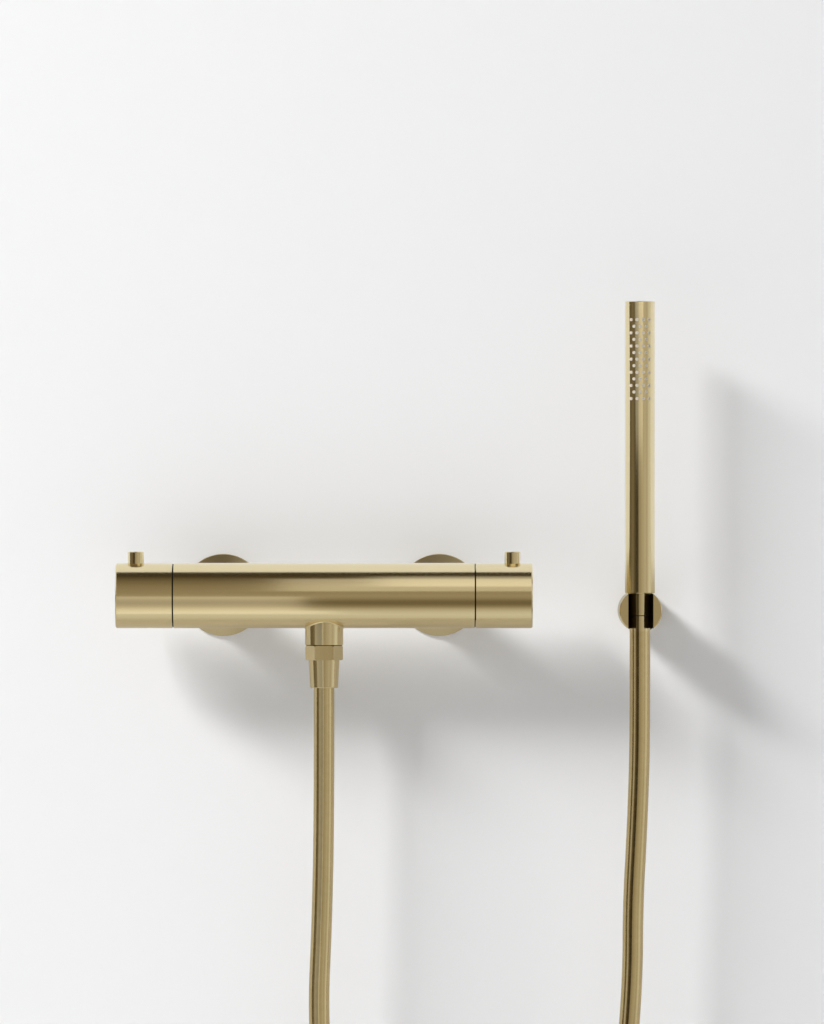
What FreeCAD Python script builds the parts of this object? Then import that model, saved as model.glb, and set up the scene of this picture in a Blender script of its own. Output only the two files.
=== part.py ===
"""Bar-shaped thermostatic shower mixer with its wall unions, hose, stick handset and wall holder.

Units are millimetres. The wall is the plane Y = 0 and the room is on its -Y side. +Z is up and
+X is to the right for someone who faces the wall. The origin is midway between the two wall inlets.
"""
import FreeCAD, Part

import math
import os
from types import SimpleNamespace

import Sketcher
from FreeCAD import Placement, Rotation, Vector

SIZES = [
    # Wall and body
    ("inlet_spacing", 150, "between the centres of the two wall inlets"),
    ("union_shift", 4.5, "sideways offset of each eccentric union"),
    ("standoff", 62, "from the wall to the body's axis"),
    ("body_radius", 22.5, "outside of the mixer's bar"),
    ("body_length", 207.5, "bar between the two handles"),
    ("seam", 1.0, "gap between the bar and a handle"),
    ("handle_length", 38.95, "one handle along the bar"),
    ("edge_break", 0.8, "chamfer of the outer edges"),
    ("fit_gap", 0.15, "radial clearance of pieces that are fixed together"),
    ("run_gap", 0.1, "radial clearance of pieces that turn or slide in one another"),
    ("seat_gap", 0.3, "clearance between a piece at rest and its seat on another body"),
    ("lap_gap", 0.03, "between lapped or sealed faces"),
    # Wall unions
    ("wall_thread_radius", 10.48, "half-inch thread into the wall"),
    ("wall_thread_length", 18, "half-inch thread behind the wall plane"),
    ("collar_radius", 18.4, "union collar that carries the rosette"),
    ("collar_depth", 9.8, "union collar from the wall"),
    ("union_thread_radius", 13.0, "three-quarter-inch thread at mean radius"),
    ("union_length", 22, "front end of the union from the wall"),
    ("union_bore_radius", 8.0, "water way in the union"),
    ("rosette_radius", 28.5, "wall rosette"),
    ("rosette_depth", 9, "top of the rosette's cone from the wall"),
    ("rosette_rim", 2.2, "straight rim of the rosette at the wall"),
    ("rosette_wall", 1.5, "sheet of the rosette at its rim"),
    ("rosette_cone_wall", 1.8, "sheet of the rosette's cone, measured square to the wall"),
    ("union_nut_flats", 30, "union nut across its flats"),
    ("union_nut_length", 16, "union nut"),
    ("union_nut_lip", 2, "inner lip of the union nut"),
    ("washer_thickness", 1.5, "flat sealing washers"),
    ("collar_thickness", 1.8, "collars held by nuts"),
    ("inlet_neck_radius", 10.4, "inlet nipple between its nut and the body"),
    ("inlet_bore_radius", 6.6, "bore of the inlet nipple"),
    ("inlet_thread_radius", 8.4, "inlet nipple's thread in the body"),
    ("inlet_thread_length", 10, "inlet nipple's thread in the body"),
    ("inlet_way_depth", 13.3, "inlet bore of the body from its flat seat"),
    ("inlet_end_radius", 5.0, "narrow end of the inlet nipple's bore"),
    ("inlet_boss_radius", 12.5, "flat seat for the inlet nipple on the bar's back"),
    ("inlet_boss_rise", 3, "inlet seat beyond the bar's back"),
    ("check_cage_length", 15, "non-return valve cage"),
    ("check_cage_wall", 1.2, "non-return valve cage"),
    ("check_seat", 3, "depth of the non-return valve's seat"),
    ("cage_window_radius", 1.3, "each window in the far end of the cage"),
    ("cage_window_offset", 3.6, "window from the valve's axis"),
    ("poppet_radius", 4.0, "non-return valve disc"),
    ("poppet_thickness", 1, "non-return valve disc"),
    ("poppet_lap", 1, "disc on its seat, radially"),
    ("poppet_stem_radius", 1.2, "non-return valve stem"),
    ("poppet_stem_end", 1, "stem beyond the cage"),
    ("check_spring_gap", 0.4, "non-return spring round the stem"),
    ("check_spring_wire", 0.8, "non-return spring"),
    # Water ways of the body
    ("gallery_radius", 3.2, "hot gallery along the bar"),
    ("gallery_skin", 1.7, "bar's wall behind the hot gallery"),
    ("mixing_radius", 6, "mixed-water way along the axis"),
    ("outlet_gallery_radius", 4, "gallery from the shut-off to the outlet"),
    ("outlet_gallery_drop", 12.5, "outlet gallery below the axis"),
    ("outlet_bore_radius", 6.5, "vertical outlet way"),
    ("outlet_boss_radius", 13.15, "outlet boss under the bar"),
    ("outlet_boss_bottom", 34.1, "bottom of the boss below the axis"),
    ("boss_fillet", 0.9, "fillet where the boss meets the bar"),
    # Thermostatic cartridge
    ("cartridge_radius", 13.5, "cartridge housing"),
    ("cartridge_depth", 58, "cartridge bore from the bar's face"),
    ("cartridge_head", 10, "cartridge shoulder below the bar's face"),
    ("chamber_radius", 10.2, "regulating chamber"),
    ("chamber_top", 16, "regulating chamber below the bar's face"),
    ("chamber_floor", 3.5, "end wall of the cartridge"),
    ("port_radius", 2.5, "water ports of the cartridge"),
    ("cold_port", 29, "cold ports below the bar's face"),
    ("hot_port", 49, "hot ports below the bar's face"),
    ("ring_width", 2.0, "sealing rings on the cartridge"),
    ("ring_depth", 1.8, "groove of a sealing ring"),
    ("end_ring", 2.4, "inner sealing ring from the cartridge's end"),
    ("head_ring", 3, "outer sealing ring from the regulating chamber"),
    ("nose_radius", 8.4, "nose of each valve that carries the stop ring"),
    ("nose_length", 8, "nose beyond the bar's face"),
    ("head_nut_radius", 15.5, "cartridge nut"),
    ("head_nut_top", 1, "valve nuts below the bar's face"),
    ("spanner_slot_depth", 2, "slot across a valve nut"),
    ("spanner_slot_width", 4, "slot across a valve nut"),
    ("shaft_radius", 5.0, "valve spindles"),
    ("shaft_collar_radius", 6.1, "spindle collar inside the valve"),
    ("spline_radius", 4.2, "tips of the spindle splines"),
    ("spline_root", 3.6, "roots of the spindle splines"),
    ("spline_count", 12, "splines of each spindle"),
    ("spline_start", 10, "splines from the bar's face"),
    ("spline_end", 22, "spindle end from the bar's face"),
    ("spline_room", 0.5, "socket beyond the spindle's end"),
    ("drive_thread_radius", 4.9, "spindle thread in the adjusting nut"),
    ("adjusting_nut_length", 9, "adjusting nut"),
    ("adjusting_nut_room", 3, "adjusting nut from the top of its chamber"),
    ("spindle_room", 2, "between the spindle's end and the wax element"),
    ("wax_radius", 5.5, "wax element"),
    ("wax_edge", 1, "chamfer of the wax element's end"),
    ("wax_flange_radius", 6.9, "flange of the wax element under the nut"),
    ("wax_flange", 1, "flange of the wax element under the nut"),
    ("wax_stem_radius", 2.5, "stem of the wax element"),
    ("wax_stem_length", 8, "stem of the wax element"),
    ("wax_length", 13, "wax element without its stem"),
    ("shuttle_length", 7, "regulating shuttle"),
    ("spring_radius", 8.5, "return spring, outside"),
    ("spring_wire", 1.4, "return spring wire"),
    ("spring_length", 10, "return spring between its seats"),
    # Stop rings and catch
    ("seam_setback", 0.6, "stop ring's flange in the seam, below the bar's surface"),
    ("stop_base", 3, "base of a stop ring"),
    ("stop_clearance", 2, "raised wall of a stop ring inside the handle's wall"),
    ("stop_wall", 2, "raised wall of a stop ring"),
    ("stop_wall_rise", 5, "raised wall above the base"),
    ("hot_rib_reach", 2, "rib inside the raised wall that stops the pressed catch"),
    ("hot_rib_angle", 30, "length of that rib, degrees"),
    ("hot_travel", 50, "turn past the 38 degree stop, degrees"),
    ("cold_travel", 150, "turn from the 38 degree stop to cold, degrees"),
    ("flow_travel", 90, "quarter turn of the flow handle, degrees"),
    ("stop_margin", 9, "from a lug's middle to the end of a stop wall, degrees"),
    ("lug_width", 3, "lug inside the flow handle"),
    ("lug_reach", 4, "lug inside the flow handle, radially"),
    ("catch_width", 4, "38 degree catch, across"),
    ("catch_thickness", 0.8, "spring strip of the catch"),
    ("catch_nose", 1.5, "catch nose, radially"),
    ("catch_foot", 3.5, "foot of the catch on the hub, along the bar"),
    # Ceramic shut-off
    ("shutoff_radius", 11.0, "shut-off housing"),
    ("shutoff_depth", 30, "shut-off bore from the bar's face"),
    ("shutoff_head", 9, "shut-off shoulder below the bar's face"),
    ("shutoff_chamber", 9.2, "disc chamber radius"),
    ("shutoff_chamber_top", 18, "disc chamber below the bar's face"),
    ("shutoff_nut_radius", 13.0, "shut-off nut"),
    ("shutoff_seal", 2, "seat seal thickness"),
    ("disc_thickness", 3, "each ceramic disc"),
    ("disc_port_radius", 2.6, "port in a ceramic disc"),
    ("disc_port_offset", 4.9, "port centre from the disc's axis"),
    ("drive_plate", 2.5, "plate of the flow spindle on the disc"),
    # Handles
    ("handle_wall", 3.5, "side wall of a handle"),
    ("handle_end", 3.5, "end wall of a handle"),
    ("hub_radius", 11, "hub inside a handle"),
    ("insert_radius", 8, "splined insert in a handle"),
    ("insert_length", 13, "splined insert"),
    ("pin_radius", 5.5, "pin on top of each handle"),
    ("pin_rise", 7.7, "pin above the handle"),
    ("pin_inset", 13.8, "pin axis from the handle's end"),
    ("pin_shank_radius", 2.5, "thread or stem under a pin"),
    ("pin_shank_depth", 3, "thread of the flow pin in the hub"),
    ("button_drop", 1.5, "top of the button's flange below the handle's round inside"),
    ("button_flange_radius", 6.4, "flange that keeps the button in the handle"),
    ("button_flange", 1.3, "thickness of the flange"),
    ("button_stem", 1, "stem under the flange"),
    ("grub_radius", 2.4, "set screws of the handles"),
    ("grub_length", 9, "set screws of the handles"),
    # Outlet and hose
    ("nipple_radius", 9.9, "half-inch outlet thread at mean radius"),
    ("nipple_bore", 5.5, "bore of the outlet nipple"),
    ("nipple_shank_radius", 8.5, "outlet nipple's thread in the boss"),
    ("nipple_shank_length", 10, "outlet nipple's thread in the boss"),
    ("nipple_length", 6.3, "outlet nipple below the boss"),
    ("hose_nut_gap", 0.5, "boss to hose nut"),
    ("hose_nut_flats", 22.4, "hose nut across its flats"),
    ("hose_nut_length", 10, "hose nut"),
    ("hose_nut_chamfer", 0.7, "hose nut corners"),
    ("ferrule_length", 19.1, "lower hose ferrule"),
    ("ferrule_floor", 3, "floor of the ferrule at the nut"),
    ("ferrule_top_radius", 10.6, "ferrule at the nut"),
    ("ferrule_end_radius", 9.6, "ferrule at the hose"),
    ("hose_radius", 7.1, "shower hose"),
    ("hose_bore_radius", 4.5, "bore at the hose's ends"),
    ("hose_bore_depth", 20, "bore at the hose's ends"),
    ("hose_bore_room", 2, "bore of the hose beyond its tail"),
    ("tail_radius", 4.4, "hose tail in the hose's end"),
    ("tail_bore", 3.2, "water way of a hose tail"),
    ("tail_neck_radius", 6.4, "hose tail in the nut's lip"),
    # Handset
    ("handset_x", 213.3, "handset axis"),
    ("handset_bottom", 1.6, "handset shoulder, from the mixer's axis"),
    ("handset_radius", 10.35, "handset tube"),
    ("handset_wall", 1.0, "handset tube"),
    ("handset_length", 198.8, "handset tube without its cap"),
    ("cap_height", 2.3, "handset cap"),
    ("cap_seam", 0.2, "seam under the cap"),
    ("cap_spigot", 5, "cap's spigot in the tube"),
    ("connector_radius", 6.4, "handset connector in the tube's floor"),
    ("floor_thickness", 3, "floor of the handset tube"),
    ("connector_thread_radius", 5.6, "handset connector's thread"),
    ("connector_length", 9, "connector below the shoulder"),
    ("connector_bore", 3.6, "bore of the connector"),
    ("flange_height", 2.4, "connector flange inside the tube"),
    ("core_radius", 8.6, "inner water tube of the handset"),
    ("core_wall", 1.6, "inner water tube of the handset"),
    ("core_window_height", 64, "window of the inner tube behind the nozzles"),
    ("core_window_width", 12, "window of the inner tube behind the nozzles"),
    ("nozzle_top", 190.1, "first row of nozzles, from the mixer's axis"),
    ("nozzle_rows", 13, "rows of nozzles"),
    ("nozzle_pitch", 4.53, "between rows of nozzles"),
    ("nozzle_step", 24, "between nozzles of a row, degrees"),
    ("nozzle_radius", 1.05, "nozzle tip"),
    ("nozzle_bore", 0.4, "nozzle jet"),
    ("nozzle_rise", 0.5, "nozzle tip beyond the tube"),
    ("nozzle_hole_gap", 0.12, "clearance of a nozzle in its hole"),
    ("nozzle_sheet", 0.55, "silicone behind the tube"),
    ("nozzle_margin", 3, "silicone beyond the outer rows"),
    # Hose end at the handset
    ("cone_length", 15.2, "cone nut under the shoulder"),
    ("cone_top_radius", 7.7, "cone nut at the shoulder"),
    ("cone_end_radius", 7.3, "cone nut at the sleeve"),
    ("cone_lip", 2, "inner lip of the cone nut"),
    ("sleeve_length", 11, "sleeve between cone nut and hose"),
    ("sleeve_radius", 7.15, "sleeve between cone nut and hose"),
    # Wall holder
    ("holder_x", 213.7, "holder axis"),
    ("holder_z", -10.7, "holder axis, from the mixer's axis"),
    ("holder_radius", 14.7, "holder"),
    ("holder_front", 75, "holder's front from the wall"),
    ("holder_slot", 17.2, "slot across"),
    ("holder_slot_gap", 1.4, "between the cone nut and the back of the slot"),
    ("holder_break", 0.6, "chamfer of the holder's front edge"),
    ("holder_step_gap", 7.5, "from the handset to the step behind its seat"),
    ("plate_radius", 11, "holder's wall plate"),
    ("plate_depth", 9, "holder's wall plate"),
    ("plate_groove", 1.2, "groove for the holder's set screw"),
    ("screw_radius", 2.25, "holder's wall screw"),
    ("screw_neck_radius", 1.7, "holder's wall screw inside the plate"),
    ("screw_head_radius", 4.4, "holder's wall screw"),
    ("screw_length", 34, "wall screw behind the wall plane"),
    ("set_screw_radius", 2.0, "holder's set screw"),
    ("set_screw_sink", 0.9, "outer end of the set screw below the holder's surface"),
]

# The hose's route between its two fittings, as (X, Z) in the plane of the bar's axis. It is a hanging
# loop: straight under the outlet, a shallow bow, the bottom of the loop, and a slack right side.
ROUTE = [
    (-4.5, -110),
    (-4.9, -176),
    (-6.3, -232),
    (-8.6, -283),
    (-5.9, -336),
    (-1.5, -400),
    (4.0, -462),
    (12.0, -520),
    (38.0, -561),
    (80.0, -585),
    (128.0, -586.5),
    (171.0, -564),
    (196.5, -520),
    (197.5, -459),
    (199.0, -397),
    (203.0, -333),
    (208.3, -266),
    (208.5, -214),
    (211.1, -165),
    (213.0, -116),
    (213.3, -70),
]
ARC_SHARE = 0.45  # of the shorter run that each arc of the route takes
PAST = 1  # how far a cutting tool runs past the face that it opens

TURNS = {
    "Z": Rotation(),
    "-Z": Rotation(Vector(1, 0, 0), 180),
    "X": Rotation(Vector(0, 1, 0), 90),
    "-X": Rotation(Vector(0, 1, 0), -90),
    "Y": Rotation(Vector(1, 0, 0), -90),
    "-Y": Rotation(Vector(1, 0, 0), 90),
}


class Size:
    """A size with its number now and the words that bind it to the sheet."""

    def __init__(self, now, words):
        self.now = now
        self.words = words

    @staticmethod
    def of(value):
        return value if isinstance(value, Size) else Size(value, f"({value})")

    def __add__(self, other):
        other = Size.of(other)
        return Size(self.now + other.now, f"({self.words} + {other.words})")

    def __sub__(self, other):
        other = Size.of(other)
        return Size(self.now - other.now, f"({self.words} - {other.words})")

    def __mul__(self, other):
        other = Size.of(other)
        return Size(self.now * other.now, f"({self.words} * {other.words})")

    def __truediv__(self, other):
        other = Size.of(other)
        return Size(self.now / other.now, f"({self.words} / {other.words})")

    def __neg__(self):
        return Size(-self.now, f"(-{self.words})")

    def __radd__(self, other):
        return Size.of(other) + self

    def __rsub__(self, other):
        return Size.of(other) - self

    def __rmul__(self, other):
        return Size.of(other) * self


def fill_sheet(doc):
    """Writes every size to the sheet and returns them by name."""
    sheet = doc.addObject("Spreadsheet::Sheet", "Sizes")
    found = {}
    for row, (name, number, meaning) in enumerate(SIZES, start=1):
        sheet.set(f"A{row}", meaning)
        sheet.set(f"B{row}", str(number))
        sheet.setAlias(f"B{row}", name)
        found[name] = Size(number, f"Sizes.{name}")
    doc.recompute()
    return SimpleNamespace(**found)


doc = FreeCAD.newDocument("shower_mixer")
s = fill_sheet(doc)
nodes = []


# Modelling helpers


def bind(thing, **sizes):
    """Sets properties of a feature from sizes, bound to the sheet."""
    for name, value in sizes.items():
        value = Size.of(value)
        setattr(thing, name, value.now)
        thing.setExpression(name, value.words)
    return thing


def place(thing, at=(0, 0, 0), along="Z"):
    """Puts a thing's own origin at a point, with its own Z axis along a row axis."""
    at = [Size.of(c) for c in at]
    thing.Placement = Placement(Vector(*[c.now for c in at]), TURNS[along])
    for axis, c in zip("xyz", at):
        thing.setExpression(f".Placement.Base.{axis}", c.words)
    return thing


def keep(thing):
    """Marks a feature as one of the object's pieces."""
    nodes.append(thing)
    return thing


def sketch_in(body, plane, label):
    sketch = body.newObject("Sketcher::SketchObject", label)
    origin_plane = next(f for f in body.Origin.OriginFeatures if f.Role == plane)
    sketch.AttachmentSupport = (origin_plane, [""])
    sketch.MapMode = "FlatFace"
    return sketch


def draw(sketch, corners):
    """A closed outline of straight lines. Each corner is bound to its own two sizes."""
    corners = [(Size.of(x), Size.of(y)) for x, y in corners]
    points = [Vector(x.now, y.now, 0) for x, y in corners]
    count = len(points)
    for i in range(count):
        sketch.addGeometry(Part.LineSegment(points[i], points[(i + 1) % count]), False)
    for i in range(count):
        sketch.addConstraint(Sketcher.Constraint("Coincident", i, 2, (i + 1) % count, 1))
    for i, (x, y) in enumerate(corners):
        for kind, value in (("DistanceX", x), ("DistanceY", y)):
            at = sketch.addConstraint(Sketcher.Constraint(kind, -1, 1, i, 1, value.now))
            sketch.setExpression(f"Constraints[{at}]", value.words)


def turned(label, outline, at=(0, 0, 0), along="Z"):
    """A body turned about its own Z axis from an outline of (radius, height) corners."""
    body = doc.addObject("PartDesign::Body", label)
    sketch = sketch_in(body, "XZ_Plane", label + "_outline")
    draw(sketch, outline)
    turn = body.newObject("PartDesign::Revolution", label + "_turned")
    turn.Profile = sketch
    turn.ReferenceAxis = (sketch, ["V_Axis"])
    turn.Angle = 360
    return place(body, at, along)


def chamfered(body, size, circles):
    """Breaks a turned body's circular edges, given as (radius, height) in its own frame."""
    doc.recompute()
    base = body.Tip
    names = []
    for r, height in circles:
        r, height = Size.of(r).now, Size.of(height).now
        for i, edge in enumerate(base.Shape.Edges, start=1):
            curve = edge.Curve
            if isinstance(curve, Part.Circle) and abs(curve.Radius - r) < 1e-4:
                if abs(curve.Center.z - height) < 1e-4:
                    names.append(f"Edge{i}")
    chamfer = body.newObject("PartDesign::Chamfer", body.Name + "_edges")
    chamfer.Base = (base, names)
    bind(chamfer, Size=size)
    return body


def cylinder(label, radius, length, at=(0, 0, 0), along="Z", angle=360):
    thing = doc.addObject("Part::Cylinder", label)
    bind(thing, Radius=radius, Height=length, Angle=angle)
    return place(thing, at, along)


def turn_about_bar(thing, degrees, along):
    """Turns a sector about the bar's axis, by an angle that stays bound to the sheet."""
    turn = Rotation(Vector(1, 0, 0), degrees.now)
    thing.Placement = Placement(thing.Placement.Base, turn * TURNS[along])


def block(label, lengths, at):
    """A box with its lowest corner at a point."""
    thing = doc.addObject("Part::Box", label)
    bind(thing, Length=lengths[0], Width=lengths[1], Height=lengths[2])
    return place(thing, at)


def hexagon(label, flats, length, at, along):
    """A hexagonal prism, sized across its flats."""
    thing = doc.addObject("Part::Prism", label)
    thing.Polygon = 6
    bind(thing, Circumradius=Size.of(flats) / math.sqrt(3), Height=length)
    return place(thing, at, along)


def joined(label, *things):
    thing = doc.addObject("Part::MultiFuse", label)
    thing.Shapes = list(things)
    return thing


def cut(label, base, *tools):
    """Takes the tools away one after another. The last cut has the label."""
    for i, tool in enumerate(tools, start=1):
        thing = doc.addObject("Part::Cut", label if i == len(tools) else f"{label}_step_{i}")
        thing.Base = base
        thing.Tool = tool
        base = thing
    return base


def common(label, first, second):
    thing = doc.addObject("Part::Common", label)
    thing.Base = first
    thing.Tool = second
    return thing


def group(label, *things):
    """Separate solids that share a node."""
    thing = doc.addObject("Part::Compound", label)
    thing.Links = list(things)
    return thing


def ring(label, inner, outer, low, high, at=(0, 0, 0), along="Z"):
    outline = [(inner, low), (outer, low), (outer, high), (inner, high)]
    return turned(label, outline, at, along)


# Places that several pieces share

axis_y = -s.standoff
body_x = -s.union_shift
half_body = s.body_length / 2
right_face = (body_x + half_body, axis_y, 0)
left_face = (body_x - half_body, axis_y, 0)
handle_end = s.seam + s.handle_length
pin_z = handle_end - s.pin_inset
handle_inside = s.body_radius - s.handle_wall
pin_top = s.body_radius + s.pin_rise
stop_wall_outer = handle_inside - s.stop_clearance
stop_wall_inner = stop_wall_outer - s.stop_wall
button_flange_top = handle_inside - s.button_drop
button_flange_low = button_flange_top - s.button_flange
button_foot = button_flange_low - s.button_stem
gallery_offset = s.body_radius - s.gallery_radius - s.gallery_skin
nose_bore = s.shaft_radius + s.run_gap
collar_bore = s.shaft_collar_radius + s.run_gap
SIDES = [("hot", -1), ("cold", 1)]


# Mixer body


def mixer_body():
    bar = turned(
        "bar",
        [(0, -half_body), (s.body_radius, -half_body), (s.body_radius, half_body), (0, half_body)],
        (body_x, axis_y, 0),
        "X",
    )
    boss = cylinder(
        "outlet_boss", s.outlet_boss_radius, s.outlet_boss_bottom, (body_x, axis_y, 0), "-Z"
    )
    seats = [
        cylinder(
            f"{name}_inlet_boss",
            s.inlet_boss_radius,
            s.body_radius + s.inlet_boss_rise,
            (body_x + side * s.inlet_spacing / 2, axis_y, 0),
            "Y",
        )
        for name, side in SIDES
    ]
    outside = joined("body_outside", bar, boss, *seats)
    doc.recompute()
    softened = doc.addObject("Part::Fillet", "body_softened")
    softened.Base = outside
    softened.Edges = [
        (i, s.boss_fillet.now, s.boss_fillet.now) for i in boss_edges(outside.Shape)
    ]
    return keep(cut("mixer_body", softened, *valve_bores(), *water_ways()))


def boss_edges(shape):
    """The numbers of the edges where the outlet boss meets the bar."""
    found = []
    for i, edge in enumerate(shape.Edges, start=1):
        points = edge.discretize(5)
        on_boss = all(
            abs(math.hypot(p.x - body_x.now, p.y - axis_y.now) - s.outlet_boss_radius.now) < 1e-3
            for p in points
        )
        on_bar = all(
            abs(math.hypot(p.z, p.y - axis_y.now) - s.body_radius.now) < 1e-3 for p in points
        )
        if on_boss and on_bar and points[0].z < 0:
            found.append(i)
    return found


def valve_bores():
    """The stepped bores for the thermostatic cartridge and for the shut-off."""
    deep = s.cartridge_depth + s.run_gap
    cartridge = turned(
        "cartridge_bore",
        [
            (0, -deep),
            (s.cartridge_radius + s.fit_gap, -deep),
            (s.cartridge_radius + s.fit_gap, -s.cartridge_head),
            (s.head_nut_radius + s.fit_gap, -s.cartridge_head),
            (s.head_nut_radius + s.fit_gap, s.seam),
            (0, s.seam),
        ],
        right_face,
        "X",
    )
    deep = s.shutoff_depth + s.run_gap
    shutoff = turned(
        "shutoff_bore",
        [
            (0, -deep),
            (s.shutoff_radius + s.fit_gap, -deep),
            (s.shutoff_radius + s.fit_gap, -s.shutoff_head),
            (s.shutoff_nut_radius + s.fit_gap, -s.shutoff_head),
            (s.shutoff_nut_radius + s.fit_gap, s.seam),
            (0, s.seam),
        ],
        left_face,
        "-X",
    )
    return [cartridge, shutoff]


def water_ways():
    hot_x = body_x - s.inlet_spacing / 2
    cold_x = body_x + s.inlet_spacing / 2
    back = axis_y + s.body_radius + s.inlet_boss_rise
    bore = s.inlet_thread_radius + s.fit_gap
    hot_inlet = cylinder("hot_inlet_way", bore, s.inlet_way_depth, (hot_x, back, 0), "-Y")
    cold_inlet = cylinder("cold_inlet_way", bore, s.inlet_way_depth, (cold_x, back, 0), "-Y")
    hot_port_x = right_face[0] - s.hot_port
    gallery = cylinder(
        "hot_gallery",
        s.gallery_radius,
        hot_port_x + s.gallery_radius - hot_x,
        (hot_x, axis_y + gallery_offset, 0),
        "X",
    )
    crossing = cylinder(
        "hot_crossing",
        s.port_radius,
        gallery_offset - s.cartridge_radius + PAST,
        (hot_port_x, axis_y + gallery_offset, 0),
        "-Y",
    )
    mixing = cylinder(
        "mixing_way",
        s.mixing_radius,
        s.body_length - s.cartridge_depth - s.shutoff_depth,
        (left_face[0] + s.shutoff_depth, axis_y, 0),
        "X",
    )
    outlet_gallery = cylinder(
        "outlet_gallery",
        s.outlet_gallery_radius,
        half_body - s.shutoff_chamber_top + s.outlet_gallery_radius,
        (left_face[0] + s.shutoff_chamber_top, axis_y, -s.outlet_gallery_drop),
        "X",
    )
    top = s.outlet_gallery_drop - s.outlet_gallery_radius / 2
    outlet = cylinder(
        "outlet_way", s.outlet_bore_radius, s.outlet_boss_bottom - top, (body_x, axis_y, -top), "-Z"
    )
    seat = cylinder(
        "outlet_thread",
        s.nipple_shank_radius + s.fit_gap,
        s.nipple_shank_length + s.run_gap,
        (body_x, axis_y, -s.outlet_boss_bottom),
        "Z",
    )
    return [hot_inlet, cold_inlet, gallery, crossing, mixing, outlet_gallery, outlet, seat]


# Wall unions, one set for each side


def wall_union(name, side):
    """The eccentric union: its collar is on the wall inlet's axis and its front thread beside it."""
    wall_x = side * s.inlet_spacing / 2
    front_x = wall_x + body_x
    back = turned(
        f"{name}_union_back",
        [
            (0, -s.wall_thread_length),
            (s.wall_thread_radius, -s.wall_thread_length),
            (s.wall_thread_radius, s.seat_gap),
            (s.collar_radius, s.seat_gap),
            (s.collar_radius, s.collar_depth),
            (0, s.collar_depth),
        ],
        (wall_x, 0, 0),
        "-Y",
    )
    front = cylinder(
        f"{name}_union_front",
        s.union_thread_radius,
        s.union_length - s.collar_depth / 2,
        (front_x, -s.collar_depth / 2, 0),
        "-Y",
    )
    way_back = cylinder(
        f"{name}_union_way_back",
        s.union_bore_radius,
        s.wall_thread_length + s.collar_depth,
        (wall_x, s.wall_thread_length, 0),
        "-Y",
    )
    way_front = cylinder(
        f"{name}_union_way_front",
        s.union_bore_radius,
        s.union_length - s.collar_depth / 2,
        (front_x, -s.collar_depth / 2, 0),
        "-Y",
    )
    keep(cut(f"{name}_union", joined(f"{name}_union_solid", back, front), way_back, way_front))


def rosette(name, side):
    """A cone of sheet metal with a straight rim at the wall. The union's collar fills its hole."""
    hole = s.collar_radius + s.fit_gap
    rim_inside = s.rosette_radius - s.rosette_wall
    shell = turned(
        f"{name}_rosette",
        [
            (hole, s.rosette_depth - s.rosette_cone_wall),
            (rim_inside, s.rosette_rim / 2),
            (rim_inside, 0),
            (s.rosette_radius, 0),
            (s.rosette_radius, s.rosette_rim),
            (hole, s.rosette_depth),
        ],
        (side * s.inlet_spacing / 2, 0, 0),
        "-Y",
    )
    keep(chamfered(shell, s.edge_break / 2, [(s.rosette_radius, s.rosette_rim)]))


def inlet_parts(name, side):
    """The union nut, washer and inlet nipple between a union and the body. Heights are from the wall."""
    at = (side * s.inlet_spacing / 2 + body_x, 0, 0)
    washer_low = s.union_length
    collar_low = washer_low + s.washer_thickness
    collar_high = collar_low + s.collar_thickness
    nut_high = collar_high + s.union_nut_lip
    nut_low = nut_high - s.union_nut_length
    seat = s.standoff - s.body_radius - s.inlet_boss_rise
    thread_end = seat + s.inlet_thread_length
    cage_end = collar_low + s.check_cage_length
    washer = ring(
        f"{name}_washer",
        s.union_bore_radius,
        s.union_thread_radius - s.fit_gap,
        washer_low,
        collar_low,
        at,
        "-Y",
    )
    hex_bar = hexagon(f"{name}_nut_bar", s.union_nut_flats, s.union_nut_length, (at[0], -nut_low, 0), "-Y")
    nut_hole = turned(
        f"{name}_nut_hole",
        [
            (0, nut_low - PAST),
            (s.union_thread_radius + s.fit_gap, nut_low - PAST),
            (s.union_thread_radius + s.fit_gap, collar_high),
            (s.inlet_neck_radius + s.fit_gap, collar_high),
            (s.inlet_neck_radius + s.fit_gap, nut_high + PAST),
            (0, nut_high + PAST),
        ],
        at,
        "-Y",
    )
    keep(cut(f"{name}_union_nut", hex_bar, nut_hole))
    keep(
        turned(
            f"{name}_inlet_nipple",
            [
                (s.inlet_bore_radius, collar_low),
                (s.union_thread_radius - s.fit_gap, collar_low),
                (s.union_thread_radius - s.fit_gap, collar_high),
                (s.inlet_neck_radius, collar_high),
                (s.inlet_neck_radius, seat),
                (s.inlet_thread_radius, seat),
                (s.inlet_thread_radius, thread_end),
                (s.inlet_end_radius, thread_end),
                (s.inlet_end_radius, cage_end + s.fit_gap),
                (s.inlet_bore_radius, cage_end + s.fit_gap),
            ],
            at,
            "-Y",
        )
    )
    check_valve(name, at, collar_low)
    return washer


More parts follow.
